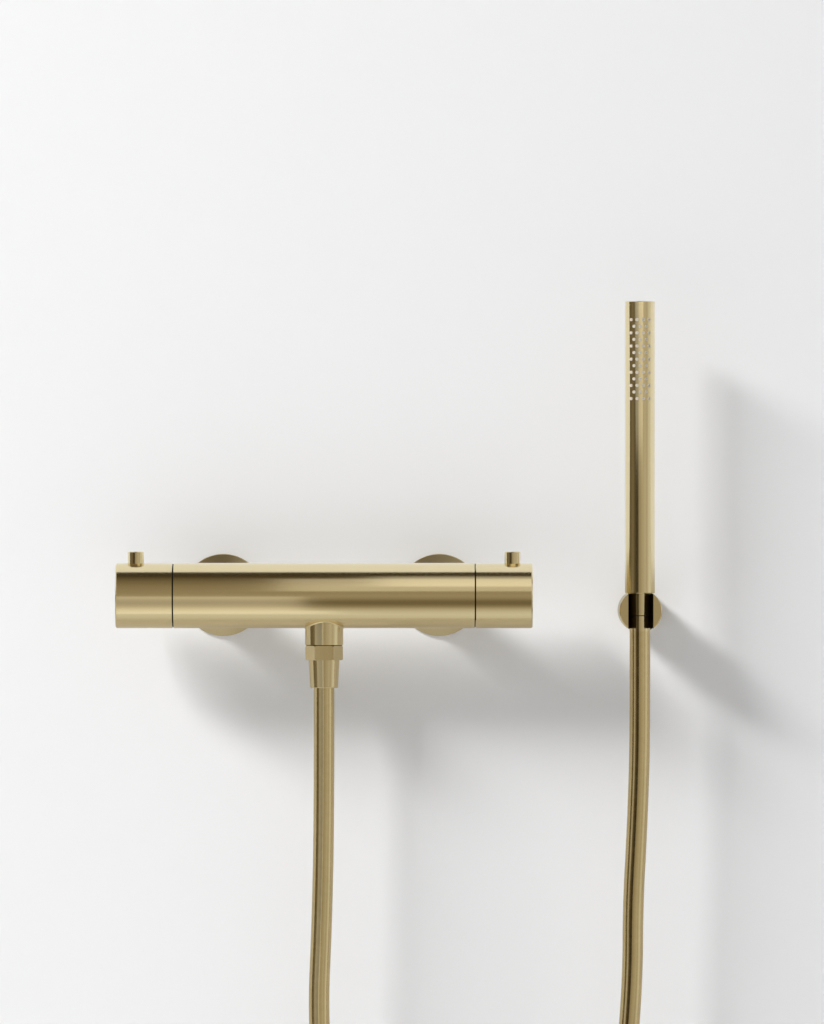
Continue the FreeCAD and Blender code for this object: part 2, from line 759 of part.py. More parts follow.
def check_valve(name, at, low):
    """A non-return valve: a cage with a seat, and a disc on a stem that a spring holds on the seat."""
    cage_outer = s.inlet_bore_radius - s.fit_gap
    cage_inner = cage_outer - s.check_cage_wall
    seat_hole = s.poppet_radius - s.poppet_lap
    stem_hole = s.poppet_stem_radius + s.run_gap
    seat_top = low + s.check_seat
    cage_top = low + s.check_cage_length
    ring_part = turned(
        f"{name}_check_barrel",
        [
            (seat_hole, low),
            (cage_outer, low),
            (cage_outer, cage_top),
            (stem_hole, cage_top),
            (stem_hole, cage_top - s.check_cage_wall),
            (cage_inner, cage_top - s.check_cage_wall),
            (cage_inner, seat_top),
            (seat_hole, seat_top),
        ],
        at,
        "-Y",
    )
    windows = [
        cylinder(
            f"{name}_check_window_{i}",
            s.cage_window_radius,
            2 * s.check_cage_wall,
            (
                at[0] + dx * s.cage_window_offset,
                -(cage_top - 1.5 * s.check_cage_wall),
                dz * s.cage_window_offset,
            ),
            "-Y",
        )
        for i, (dx, dz) in enumerate([(1, 0), (0, 1), (-1, 0), (0, -1)])
    ]
    keep(cut(f"{name}_check_cage", ring_part, *windows))
    disc_low = seat_top + s.run_gap
    disc_high = disc_low + s.poppet_thickness
    stem_end = cage_top + s.poppet_stem_end
    spring_inner = s.poppet_stem_radius + s.check_spring_gap
    keep(
        turned(
            f"{name}_check_poppet",
            [
                (0, disc_low),
                (s.poppet_radius, disc_low),
                (s.poppet_radius, disc_high),
                (s.poppet_stem_radius, disc_high),
                (s.poppet_stem_radius, stem_end),
                (0, stem_end),
            ],
            at,
            "-Y",
        )
    )
    springs.append(
        ring(
            f"{name}_check_spring_coil",
            spring_inner,
            spring_inner + s.check_spring_wire,
            disc_high + s.run_gap,
            cage_top - s.check_cage_wall - s.run_gap,
            at,
            "-Y",
        )
    )


# Thermostatic cartridge. Heights are outwards from the bar's right face


def cartridge():
    at, along = right_face, "X"
    outer = s.cartridge_radius
    groove = outer - s.ring_depth
    half = s.ring_width / 2 + s.run_gap
    way = s.mixing_radius - s.fit_gap
    floor_top = -s.cartridge_depth + s.chamber_floor
    middle = -(s.cold_port + s.hot_port) / 2
    ring_heights = [-s.cartridge_depth + s.end_ring, middle, -s.chamber_top - s.head_ring]
    outline = [(way, -s.cartridge_depth), (outer, -s.cartridge_depth)]
    for height in ring_heights:
        low, high = height - half, height + half
        outline += [(outer, low), (groove, low), (groove, high), (outer, high)]
    outline += [
        (outer, -s.cartridge_head),
        (s.nose_radius, -s.cartridge_head),
        (s.nose_radius, s.nose_length),
        (nose_bore, s.nose_length),
        (nose_bore, -s.cartridge_head),
        (collar_bore, -s.cartridge_head),
        (collar_bore, -s.chamber_top),
        (s.chamber_radius, -s.chamber_top),
        (s.chamber_radius, floor_top),
        (way, floor_top),
    ]
    shell = turned("cartridge_shell", outline, at, along)
    reach = outer + PAST
    ports = []
    for name, depth in (("cold", s.cold_port), ("hot", s.hot_port)):
        x = at[0] - depth
        ports.append(cylinder(f"{name}_ports_across", s.port_radius, 2 * reach, (x, axis_y - reach, 0), "Y"))
        ports.append(cylinder(f"{name}_ports_upright", s.port_radius, 2 * reach, (x, axis_y, -reach), "Z"))
    keep(cut("cartridge_housing", shell, *ports))
    rings = [
        ring(
            f"cartridge_ring_{i}",
            groove + s.lap_gap,
            outer + s.fit_gap - s.lap_gap,
            height - s.ring_width / 2,
            height + s.ring_width / 2,
            at,
            along,
        )
        for i, height in enumerate(ring_heights)
    ]
    keep(group("cartridge_seals", *rings))
    nut_holes(
        keep_label="cartridge_nut",
        radius=s.head_nut_radius,
        low=-s.cartridge_head,
        at=at,
        along=along,
    )
    nut_high = -s.chamber_top - s.adjusting_nut_room
    nut_low = nut_high - s.adjusting_nut_length
    regulator(at, along, floor_top, nut_low, nut_high)
    spindle_low = nut_low + s.spindle_room
    spindle("temperature_spindle", at, along, [
        (0, spindle_low),
        (s.drive_thread_radius, spindle_low),
        (s.drive_thread_radius, -s.chamber_top),
        (s.shaft_collar_radius, -s.chamber_top),
    ], s.cartridge_head)


def nut_holes(keep_label, radius, low, at, along):
    """A round valve nut with a slot across its face for the spanner."""
    blank = ring(keep_label + "_blank", s.nose_radius + s.fit_gap, radius, low, -s.head_nut_top, at, along)
    depth, width = s.spanner_slot_depth, s.spanner_slot_width
    x = at[0] - s.head_nut_top - depth if along == "X" else at[0] + s.head_nut_top
    slot = block(
        keep_label + "_slot",
        (depth, 2 * (radius + PAST), width),
        (x, axis_y - radius - PAST, -(width / 2)),
    )
    keep(cut(keep_label, blank, slot))


def spindle(label, at, along, inner, head):
    """A valve spindle: its inner end, a trapped collar, the shaft and a splined end."""
    shaft = turned(
        label + "_shaft",
        inner
        + [
            (s.shaft_collar_radius, -head - s.run_gap),
            (s.shaft_radius, -head - s.run_gap),
            (s.shaft_radius, s.spline_start),
            (0, s.spline_start),
        ],
        at,
        along,
    )
    teeth = splined(label + "_splines", s.spline_radius, s.spline_root, s.spline_start, s.spline_end, at, along)
    return keep(joined(label, shaft, teeth))


def splined(label, tip, root, low, high, at, along):
    """A toothed prism about its own Z axis, between two heights."""
    body = doc.addObject("PartDesign::Body", label)
    sketch = sketch_in(body, "XY_Plane", label + "_outline")
    corners = []
    for i in range(2 * s.spline_count.now):
        angle = math.pi * i / s.spline_count.now
        radius = tip if i % 2 == 0 else root
        corners.append((radius * round(math.cos(angle), 9), radius * round(math.sin(angle), 9)))
    draw(sketch, corners)
    pad = body.newObject("PartDesign::Pad", label + "_pad")
    pad.Profile = sketch
    bind(pad, Length=Size.of(high) - low)
    sign = 1 if along == "X" else -1
    return place(body, (at[0] + sign * low, at[1], at[2]), along)


def regulator(at, along, floor_top, nut_low, nut_high):
    """What moves along the cartridge as the spindle turns, and the spring that pushes it back."""
    slide = s.chamber_radius - s.run_gap
    keep(ring("adjusting_nut", s.drive_thread_radius + s.fit_gap, slide, nut_low, nut_high, at, along))
    flange_low = nut_low - s.wax_flange
    wax_high = nut_low - s.wax_stem_length
    wax_low = wax_high - s.wax_length
    keep(
        turned(
            "wax_element",
            [
                (0, wax_low),
                (s.wax_radius - s.wax_edge, wax_low),
                (s.wax_radius, wax_low + s.wax_edge),
                (s.wax_radius, wax_high),
                (s.wax_stem_radius, wax_high),
                (s.wax_stem_radius, flange_low),
                (s.wax_flange_radius, flange_low),
                (s.wax_flange_radius, nut_low),
                (0, nut_low),
            ],
            at,
            along,
        )
    )
    shuttle_low = floor_top + s.spring_length
    shuttle_high = shuttle_low + s.shuttle_length
    keep(ring("regulating_shuttle", s.wax_radius + s.fit_gap, slide, shuttle_low, shuttle_high, at, along))
    keep(
        ring(
            "return_spring",
            s.spring_radius - s.spring_wire,
            s.spring_radius,
            floor_top + s.run_gap,
            shuttle_low - s.run_gap,
            at,
            along,
        )
    )


# Stop rings, which show in the seams


def stop_ring(label, at, along, wall_angle, wall_turn, rib_turn=None):
    """A ring on the valve's nose, with a thin flange in the seam and a raised wall inside the handle.

    The wall's ends stop the handle. The thermostat's ring also has a rib inside the wall.
    """
    edge = s.body_radius - s.seam_setback
    flange = s.seam - s.seat_gap
    base_radius = stop_wall_outer + s.fit_gap
    nose = s.nose_radius + s.fit_gap
    base = turned(
        label + "_base",
        [
            (nose, 0),
            (edge, 0),
            (edge, flange),
            (base_radius, flange),
            (base_radius, s.stop_base),
            (nose, s.stop_base),
        ],
        at,
        along,
    )
    walls = [sector(label + "_wall", stop_wall_inner, stop_wall_outer, at, along, wall_angle, wall_turn)]
    if rib_turn is not None:
        low, high = stop_wall_inner - s.hot_rib_reach, stop_wall_inner + s.stop_wall / 2
        walls.append(sector(label + "_rib", low, high, at, along, s.hot_rib_angle, rib_turn))
    keep(joined(label, base, *walls))


def sector(label, inner, outer, at, along, angle, turn):
    """A part of a round wall, from the middle of a stop ring's base to the top of its wall.

    It starts at turn degrees about the bar's axis.
    """
    sign = 1 if along == "X" else -1
    foot = (at[0] + sign * s.stop_base / 2, at[1], at[2])
    height = s.stop_base / 2 + s.stop_wall_rise
    solid = cylinder(label + "_outer", outer, height, foot, along, angle)
    hole = cylinder(label + "_inner", inner, 2 * height, foot, along)
    turn_about_bar(solid, turn, along)
    return cut(label, solid, hole)


# Ceramic shut-off. Heights are outwards from the bar's left face


def shutoff():
    at, along = left_face, "-X"
    low = -s.shutoff_depth
    seal_high = low + s.shutoff_seal
    fixed_high = seal_high + s.disc_thickness
    rotor_low = fixed_high + s.lap_gap
    rotor_high = rotor_low + s.disc_thickness
    barrel = turned(
        "shutoff_barrel",
        [
            (s.shutoff_chamber, low),
            (s.shutoff_radius, low),
            (s.shutoff_radius, -s.shutoff_head),
            (s.nose_radius, -s.shutoff_head),
            (s.nose_radius, s.nose_length),
            (nose_bore, s.nose_length),
            (nose_bore, -s.shutoff_head),
            (collar_bore, -s.shutoff_head),
            (collar_bore, -s.shutoff_chamber_top),
            (s.shutoff_chamber, -s.shutoff_chamber_top),
        ],
        at,
        along,
    )
    window = cylinder(
        "shutoff_windows",
        s.disc_thickness / 2,
        2 * (s.shutoff_radius + PAST),
        (at[0] - rotor_low - s.disc_thickness / 2, axis_y, -s.shutoff_radius - PAST),
        "Z",
    )
    keep(cut("shutoff_housing", barrel, window))
    way = s.mixing_radius - s.fit_gap
    keep(ring("shutoff_seal", way, s.shutoff_chamber - s.fit_gap, low, seal_high, at, along))
    ported_disc("fixed_disc", s.shutoff_chamber - s.fit_gap, seal_high, at, "Z")
    ported_disc("rotor_disc", s.shutoff_chamber - s.run_gap, rotor_low, at, "Y")
    nut_holes("shutoff_nut", s.shutoff_nut_radius, -s.shutoff_head, at, along)
    plate_top = rotor_high + s.drive_plate
    spindle("flow_spindle", at, along, [
        (0, rotor_high),
        (s.shutoff_chamber - 2 * s.run_gap, rotor_high),
        (s.shutoff_chamber - 2 * s.run_gap, plate_top),
        (s.shaft_collar_radius, plate_top),
    ], s.shutoff_head)


def ported_disc(label, radius, low, at, across):
    """A ceramic disc with two ports, side by side along a row axis."""
    blank = cylinder(label + "_blank", radius, s.disc_thickness, (at[0] - low, axis_y, 0), "-X")
    ports = []
    for i, side in enumerate((-1, 1)):
        offset = side * s.disc_port_offset
        y, z = (axis_y + offset, 0) if across == "Y" else (axis_y, offset)
        ports.append(
            cylinder(
                f"{label}_port_{i}",
                s.disc_port_radius,
                s.disc_thickness + 2 * PAST,
                (at[0] - low + PAST, y, z),
                "-X",
            )
        )
    keep(cut(label, blank, *ports))


# Handles


def handle(name, at, along, pin_hole):
    """A cup with a hub, a pin hole through its top and a set screw hole through its underside."""
    sign = 1 if along == "X" else -1
    socket = s.insert_radius + s.fit_gap
    insert_high = s.spline_start + s.insert_length
    shell = turned(
        f"{name}_shell",
        [
            (socket, s.spline_start),
            (s.hub_radius, s.spline_start),
            (s.hub_radius, handle_end - s.handle_end),
            (handle_inside, handle_end - s.handle_end),
            (handle_inside, s.seam),
            (s.body_radius, s.seam),
            (s.body_radius, handle_end),
            (0, handle_end),
            (0, insert_high),
            (socket, insert_high),
        ],
        at,
        along,
    )
    chamfered(shell, s.edge_break, [(s.body_radius, handle_end)])
    screw_x = at[0] + sign * (s.spline_start + s.insert_length / 2)
    screw_hole = cylinder(
        f"{name}_screw_hole", s.grub_radius + s.fit_gap, s.body_radius, (screw_x, axis_y, -(socket / 2)), "-Z"
    )
    pin_x = at[0] + sign * pin_z
    hole = cylinder(
        f"{name}_pin_hole", pin_hole, 2 * s.handle_wall, (pin_x, axis_y, handle_inside - PAST), "Z"
    )
    tools = [screw_hole, hole]
    if name == "flow":
        lug = block(
            "flow_lug",
            (s.stop_wall_rise - 2 * s.seat_gap, s.lug_width, s.lug_reach),
            (
                at[0] - s.stop_base - s.stop_wall_rise + s.seat_gap,
                axis_y - s.lug_width / 2,
                -handle_inside - s.seat_gap,
            ),
        )
        shell = joined("flow_shell_with_lug", shell, lug)
        shank = s.pin_shank_radius + s.fit_gap
        shank_low = s.hub_radius - s.pin_shank_depth - PAST
        tools.append(cylinder("flow_shank_hole", shank, handle_inside, (pin_x, axis_y, shank_low), "Z"))
    keep(cut(f"{name}_handle", shell, *tools))
    insert(name, at, along)
    keep(
        cylinder(
            f"{name}_set_screw",
            s.grub_radius,
            s.grub_length,
            (screw_x, axis_y, -s.insert_radius - s.run_gap),
            "-Z",
        )
    )
    return pin_x


def insert(name, at, along):
    sign = 1 if along == "X" else -1
    blank = cylinder(
        f"{name}_insert_blank",
        s.insert_radius,
        s.insert_length - s.run_gap,
        (at[0] + sign * (s.spline_start + s.run_gap), axis_y, 0),
        along,
    )
    socket = splined(
        f"{name}_insert_socket",
        s.spline_radius + s.fit_gap,
        s.spline_root + s.fit_gap,
        s.spline_start - PAST,
        s.spline_end + s.spline_room,
        at,
        along,
    )
    keep(cut(f"{name}_insert", blank, socket))


def grip_pin(pin_x):
    """The fixed pin of the flow handle: a short post screwed into the wall and hub."""
    shank_low = s.hub_radius - s.pin_shank_depth
    pin = turned(
        "flow_pin",
        [
            (0, shank_low),
            (s.pin_shank_radius, shank_low),
            (s.pin_shank_radius, handle_inside),
            (s.pin_radius, handle_inside),
            (s.pin_radius, pin_top),
            (0, pin_top),
        ],
        (pin_x, axis_y, 0),
        "Z",
    )
    keep(chamfered(pin, s.edge_break / 2, [(s.pin_radius, pin_top)]))


def safety_button(pin_x):
    """The pin of the temperature handle. Pressed in against the catch, it moves its nose clear."""
    pin = turned(
        "safety_button",
        [
            (0, button_foot),
            (s.pin_shank_radius, button_foot),
            (s.pin_shank_radius, button_flange_low),
            (s.button_flange_radius, button_flange_low),
            (s.button_flange_radius, button_flange_top),
            (s.pin_radius, button_flange_top),
            (s.pin_radius, pin_top),
            (0, pin_top),
        ],
        (pin_x, axis_y, 0),
        "Z",
    )
    keep(chamfered(pin, s.edge_break / 2, [(s.pin_radius, pin_top)]))


def safety_catch():
    """A spring strip from the hub to the stop ring. Its nose meets the end of the ring's wall."""
    half = s.catch_width / 2
    strip_top = button_foot - s.seat_gap
    strip_low = strip_top - s.catch_thickness
    ring_x = right_face[0] + s.stop_base + s.seat_gap
    foot_x = right_face[0] + handle_end - s.handle_end - s.fit_gap - s.catch_foot
    strip = block(
        "catch_strip",
        (foot_x + s.catch_foot - ring_x, s.catch_width, s.catch_thickness),
        (ring_x, axis_y - half, strip_low),
    )
    nose = block(
        "catch_nose_block",
        (s.stop_wall_rise - 2 * s.seat_gap, s.catch_width, s.catch_nose + s.catch_thickness),
        (ring_x, axis_y - half, strip_low),
    )
    foot = block(
        "catch_foot",
        (s.catch_foot, s.catch_width, strip_top - s.hub_radius - s.fit_gap),
        (foot_x, axis_y - half, s.hub_radius + s.fit_gap),
    )
    keep(joined("safety_catch", strip, nose, foot))


# Outlet and the hose's lower end


def outlet():
    """Heights are from the bar's axis, in the outlet's own line."""
    at = (body_x, axis_y, 0)
    boss = -s.outlet_boss_bottom
    nipple_end = boss - s.nipple_length
    keep(
        turned(
            "outlet_nipple",
            [
                (s.nipple_bore, boss + s.nipple_shank_length),
                (s.nipple_shank_radius, boss + s.nipple_shank_length),
                (s.nipple_shank_radius, boss),
                (s.nipple_radius, boss),
                (s.nipple_radius, nipple_end),
                (s.nipple_bore, nipple_end),
            ],
            at,
        )
    )
    washer_low = nipple_end - s.washer_thickness
    collar_low = washer_low - s.collar_thickness
    nut_top = boss - s.hose_nut_gap
    nut_low = nut_top - s.hose_nut_length
    washer_radius = s.nipple_radius - s.fit_gap
    keep(ring("outlet_washer", s.nipple_bore, washer_radius, washer_low, nipple_end, at))
    hose_nut(at, nut_top, nut_low, collar_low)
    ferrule_low = nut_low - s.ferrule_length
    inner = s.hose_radius + s.fit_gap
    neck_low = nut_low - s.ferrule_floor
    keep(
        chamfered(
            turned(
                "hose_ferrule",
                [
                    (s.tail_neck_radius + s.fit_gap, nut_low),
                    (s.ferrule_top_radius, nut_low),
                    (s.ferrule_end_radius, ferrule_low),
                    (inner, ferrule_low),
                    (inner, neck_low),
                    (s.tail_neck_radius + s.fit_gap, neck_low),
                ],
                at,
            ),
            s.edge_break / 2,
            [(s.ferrule_end_radius, ferrule_low)],
        )
    )
    tail_low = neck_low - s.hose_bore_depth + s.hose_bore_room
    keep(
        turned(
            "hose_tail",
            [
                (s.tail_bore, washer_low),
                (washer_radius, washer_low),
                (washer_radius, collar_low),
                (s.tail_neck_radius, collar_low),
                (s.tail_neck_radius, neck_low),
                (s.tail_radius, neck_low),
                (s.tail_radius, tail_low),
                (s.tail_bore, tail_low),
            ],
            at,
        )
    )
    return neck_low


def hose_nut(at, top, low, lip):
    """A hexagonal nut with a flat to the front and turned chamfers at both ends."""
    hex_bar = hexagon("hose_nut_bar", s.hose_nut_flats, s.hose_nut_length, (at[0], at[1], low), "Z")
    corner = s.hose_nut_flats / math.sqrt(3)
    turned_blank = turned(
        "hose_nut_chamfers",
        [
            (0, low),
            (corner - s.hose_nut_chamfer, low),
            (corner + s.lap_gap, low + s.hose_nut_chamfer),
            (corner + s.lap_gap, top - s.hose_nut_chamfer),
            (corner - s.hose_nut_chamfer, top),
            (0, top),
        ],
        at,
    )
    hole = turned(
        "hose_nut_hole",
        [
            (0, low - PAST),
            (s.tail_neck_radius + s.fit_gap, low - PAST),
            (s.tail_neck_radius + s.fit_gap, lip),
            (s.nipple_radius + s.fit_gap, lip),
            (s.nipple_radius + s.fit_gap, top + PAST),
            (0, top + PAST),
        ],
        at,
    )
    keep(cut("hose_nut", common("hose_nut_outside", hex_bar, turned_blank), hole))


def hose(low_end, high_end):
    """The hose: a round tube along straight runs joined by tangent arcs, bored at both ends."""
    ends = [(body_x.now, low_end.now), (s.handset_x.now, high_end.now)]
    route = [Vector(x, axis_y.now, z) for x, z in [ends[0], *ROUTE, ends[1]]]
    edges = []
    start = route[0]
    for i in range(1, len(route) - 1):
        before, corner, after = route[i - 1], route[i], route[i + 1]
        into, out = (corner - before).normalize(), (after - corner).normalize()
        half_turn = into.getAngle(out) / 2
        reach = ARC_SHARE * min((corner - before).Length, (after - corner).Length)
        radius = reach / math.tan(half_turn)
        print(f"hose point {i}: turn {math.degrees(2 * half_turn):.1f} degrees, radius {radius:.0f} mm")
        first, last = corner - into * reach, corner + out * reach
        middle = corner + (out - into).normalize() * (radius / math.cos(half_turn) - radius)
        edges.append(Part.LineSegment(start, first).toShape())
        edges.append(Part.Arc(first, middle, last).toShape())
        start = last
    edges.append(Part.LineSegment(start, route[-1]).toShape())
    path = Part.Wire(edges)
    section = Part.Wire(Part.makeCircle(s.hose_radius.now, route[0], Vector(0, 0, 1)))
    solid = path.makePipeShell([section], True, False)
    expected = math.pi * s.hose_radius.now**2 * path.Length
    print(f"hose: length {path.Length:.1f} mm, volume over section times length {solid.Volume / expected:.5f}")
    tube = doc.addObject("Part::Feature", "hose_tube")
    tube.Shape = solid
    bore, depth = s.hose_bore_radius, s.hose_bore_depth + PAST
    low_bore = cylinder("hose_low_bore", bore, depth, (body_x, axis_y, low_end + PAST), "-Z")
    high_bore = cylinder("hose_high_bore", bore, depth, (s.handset_x, axis_y, high_end + PAST), "-Z")
    keep(cut("shower_hose", tube, low_bore, high_bore))


# Hose end and handset. Heights are from the mixer's axis, in the handset's own line


def hose_end():
    at = (s.handset_x, axis_y, 0)
    shoulder = s.handset_bottom
    cone_low = shoulder - s.cone_length
    thread_low = shoulder - s.connector_length
    washer_low = thread_low - s.washer_thickness
    lip = cone_low + s.cone_lip
    lip_hole = s.tail_radius + s.fit_gap
    keep(
        turned(
            "cone_nut",
            [
                (s.connector_thread_radius + s.fit_gap, shoulder - s.run_gap),
                (s.cone_top_radius, shoulder - s.run_gap),
                (s.cone_end_radius, cone_low),
                (lip_hole, cone_low),
                (lip_hole, lip),
                (s.connector_thread_radius + s.fit_gap, lip),
            ],
            at,
        )
    )
    keep(ring("cone_washer", s.tail_bore, s.connector_thread_radius, washer_low, thread_low, at))
    sleeve_top = cone_low - s.fit_gap
    sleeve_low = cone_low - s.sleeve_length
    tail_low = sleeve_low - s.hose_bore_depth + s.hose_bore_room
    keep(
        chamfered(
            turned(
                "hose_end_tail",
                [
                    (s.tail_bore, washer_low),
                    (s.connector_thread_radius, washer_low),
                    (s.connector_thread_radius, lip),
                    (s.tail_radius, lip),
                    (s.tail_radius, sleeve_top),
                    (s.sleeve_radius, sleeve_top),
                    (s.sleeve_radius, sleeve_low),
                    (s.tail_radius, sleeve_low),
                    (s.tail_radius, tail_low),
                    (s.tail_bore, tail_low),
                ],
                at,
            ),
            s.edge_break / 4,
            [(s.sleeve_radius, sleeve_top)],
        )
    )
    return sleeve_low


def handset():
    at = (s.handset_x, axis_y, 0)
    low = s.handset_bottom
    top = low + s.handset_length
    inner = s.handset_radius - s.handset_wall
    floor_top = low + s.floor_thickness
    tube = turned(
        "handset_blank",
        [
            (s.connector_radius + s.fit_gap, low),
            (s.handset_radius, low),
            (s.handset_radius, top),
            (inner, top),
            (inner, floor_top),
            (s.connector_radius + s.fit_gap, floor_top),
        ],
        at,
    )
    chamfered(tube, s.edge_break / 3, [(s.handset_radius, low)])
    hole_radius = s.nozzle_radius + s.nozzle_hole_gap
    holes = nozzle_pins("nozzle_hole", hole_radius, inner - PAST, s.handset_radius + PAST)
    keep(cut("handset_tube", tube, group("nozzle_holes", *holes)))
    cap_low = top + s.cap_seam
    cap_top = cap_low + s.cap_height
    spigot = inner - s.fit_gap
    cap = turned(
        "handset_cap",
        [
            (0, top - s.cap_spigot),
            (spigot, top - s.cap_spigot),
            (spigot, cap_low),
            (s.handset_radius, cap_low),
            (s.handset_radius, cap_top),
            (0, cap_top),
        ],
        at,
    )
    keep(chamfered(cap, s.edge_break / 2, [(s.handset_radius, cap_top)]))
    nozzles(at, inner)
    connector_and_core(at, inner, floor_top, top - s.cap_spigot)


def nozzle_places():
    """(height, angle from the front in degrees) of each nozzle: rows of four and three in turn."""
    for row in range(int(s.nozzle_rows.now)):
        columns = (-1.5, -0.5, 0.5, 1.5) if row % 2 == 0 else (-1, 0, 1)
        for column in columns:
            yield row, column


def nozzle_pins(label, radius, low, high):
    """Radial cylinders of the handset, one at each nozzle, between two radii."""
    pins = []
    for row, column in nozzle_places():
        angle = math.radians(column * s.nozzle_step.now)
        out = Vector(math.sin(angle), -math.cos(angle), 0)
        pin = doc.addObject("Part::Cylinder", f"{label}_{row}_{int(column * 2 + 3)}")
        bind(pin, Radius=radius, Height=Size.of(high) - low)
        height = s.nozzle_top - row * s.nozzle_pitch
        place(
            pin,
            (s.handset_x + low * round(out.x, 9), axis_y + low * round(out.y, 9), height),
        )
        pin.Placement = Placement(pin.Placement.Base, Rotation(Vector(0, 0, 1), out))
        pins.append(pin)
    return pins


def nozzles(at, inner):
    """The silicone nozzle sheet: a curved strip behind the tube with a hollow tip in each hole."""
    outer = inner - s.fit_gap / 3
    thin = outer - s.nozzle_sheet
    high = s.nozzle_top + s.nozzle_margin
    low = s.nozzle_top - (s.nozzle_rows - 1) * s.nozzle_pitch - s.nozzle_margin
    sleeve = ring("nozzle_sleeve", thin, outer, low, high, at)
    front = block(
        "nozzle_front",
        (2 * s.handset_radius, s.handset_radius, high - low + 2 * PAST),
        (s.handset_x - s.handset_radius, axis_y - s.handset_radius - s.handset_radius / 2, low - PAST),
    )
    sheet = common("nozzle_sheet_front", sleeve, front)
    tip = s.handset_radius + s.nozzle_rise
    pins = nozzle_pins("nozzle_tip", s.nozzle_radius, thin + s.nozzle_sheet / 2, tip)
    jets = nozzle_pins("nozzle_jet", s.nozzle_bore, thin - PAST, tip + PAST)
    keep(cut("spray_nozzles", joined("nozzle_solid", sheet, *pins), group("nozzle_jets", *jets)))


def connector_and_core(at, inner, floor_top, top):
    flange_top = floor_top + s.flange_height
    keep(
        turned(
            "handset_connector",
            [
                (s.connector_bore, s.handset_bottom - s.connector_length),
                (s.connector_thread_radius, s.handset_bottom - s.connector_length),
                (s.connector_thread_radius, s.handset_bottom),
                (s.connector_radius, s.handset_bottom),
                (s.connector_radius, floor_top),
                (inner - s.fit_gap, floor_top),
                (inner - s.fit_gap, flange_top),
                (s.connector_bore, flange_top),
            ],
            at,
        )
    )
    tube = ring("core_tube", s.core_radius - s.core_wall, s.core_radius, flange_top, top, at)
    middle = s.nozzle_top - (s.nozzle_rows - 1) * s.nozzle_pitch / 2
    window = block(
        "core_window",
        (s.core_window_width, s.core_radius + PAST, s.core_window_height),
        (
            s.handset_x - s.core_window_width / 2,
            axis_y - s.core_radius - PAST,
            middle - s.core_window_height / 2,
        ),
    )
    keep(cut("handset_core", tube, window))


# Wall holder. Heights are from the wall


def holder():
    at = (s.holder_x, 0, s.holder_z)
    socket = s.plate_radius + s.fit_gap
    blank = turned(
        "holder_blank",
        [
            (socket, 0),
            (s.holder_radius, 0),
            (s.holder_radius, s.holder_front),
            (0, s.holder_front),
            (0, s.plate_depth + s.seat_gap),
            (socket, s.plate_depth + s.seat_gap),
        ],
        at,
        "-Y",
    )
    chamfered(blank, s.holder_break, [(s.holder_radius, s.holder_front)])
    tall = 2 * (s.holder_radius + PAST)
    under = s.holder_z - s.holder_radius - PAST
    seat_z = s.handset_bottom - s.seat_gap
    step_back = axis_y + s.handset_radius + s.holder_step_gap
    slot_back = axis_y + s.cone_top_radius + s.holder_slot_gap
    slot = block(
        "holder_slot",
        (s.holder_slot, slot_back + s.holder_front + PAST, tall),
        (s.holder_x - s.holder_slot / 2, -s.holder_front - PAST, under),
    )
    step = block(
        "holder_step",
        (2 * s.holder_radius, step_back + s.holder_front + PAST, s.holder_radius),
        (s.holder_x - s.holder_radius, -s.holder_front - PAST, seat_z),
    )
    groove_x = s.plate_depth / 2
    screw_way = cylinder(
        "holder_screw_way",
        s.set_screw_radius + s.fit_gap,
        s.holder_radius - s.plate_radius + PAST,
        (s.holder_x, -groove_x, s.holder_z - s.plate_radius),
        "-Z",
    )
    keep(cut("holder_body", blank, slot, step, screw_way))
    plate(at, groove_x)
    keep(
        cylinder(
            "holder_set_screw",
            s.set_screw_radius,
            s.holder_radius - s.set_screw_sink - s.plate_radius + s.plate_groove - s.run_gap,
            (s.holder_x, -groove_x, s.holder_z - s.plate_radius + s.plate_groove - s.run_gap),
            "-Z",
        )
    )


def plate(at, groove_x):
    """The round wall plate with a groove for the set screw, and its countersunk wall screw."""
    half = s.set_screw_radius + s.fit_gap
    hole = s.screw_radius + s.fit_gap
    head = s.screw_head_radius + s.fit_gap
    sink = s.screw_head_radius - s.screw_radius
    head_low = s.plate_depth - (s.screw_head_radius - s.screw_neck_radius)
    keep(
        turned(
            "holder_plate",
            [
                (hole, 0),
                (s.plate_radius, 0),
                (s.plate_radius, groove_x - half),
                (s.plate_radius - s.plate_groove, groove_x - half),
                (s.plate_radius - s.plate_groove, groove_x + half),
                (s.plate_radius, groove_x + half),
                (s.plate_radius, s.plate_depth),
                (head, s.plate_depth),
                (hole, s.plate_depth - sink),
            ],
            at,
            "-Y",
        )
    )
    keep(
        turned(
            "holder_wall_screw",
            [
                (0, -s.screw_length - s.screw_radius),
                (s.screw_radius, -s.screw_length),
                (s.screw_radius, 0),
                (s.screw_neck_radius, 0),
                (s.screw_neck_radius, head_low),
                (s.screw_head_radius, s.plate_depth),
                (0, s.plate_depth),
            ],
            at,
            "-Y",
        )
    )


def write_pieces():
    """Checks every object and every piece, then writes one STEP file for each piece."""
    doc.recompute()
    for thing in doc.Objects:
        if {"Invalid", "Error"} & set(thing.State):
            raise RuntimeError(f"{thing.Label} failed: {thing.State}")
    os.makedirs("parts", exist_ok=True)
    for thing in nodes:
        shape = thing.Shape
        if shape.isNull() or not shape.isValid() or not shape.Solids:
            raise RuntimeError(f"{thing.Label} has no valid solid")
        shape.exportStep(f"parts/{thing.Label}.step")
    print(f"{len(nodes)} nodes")


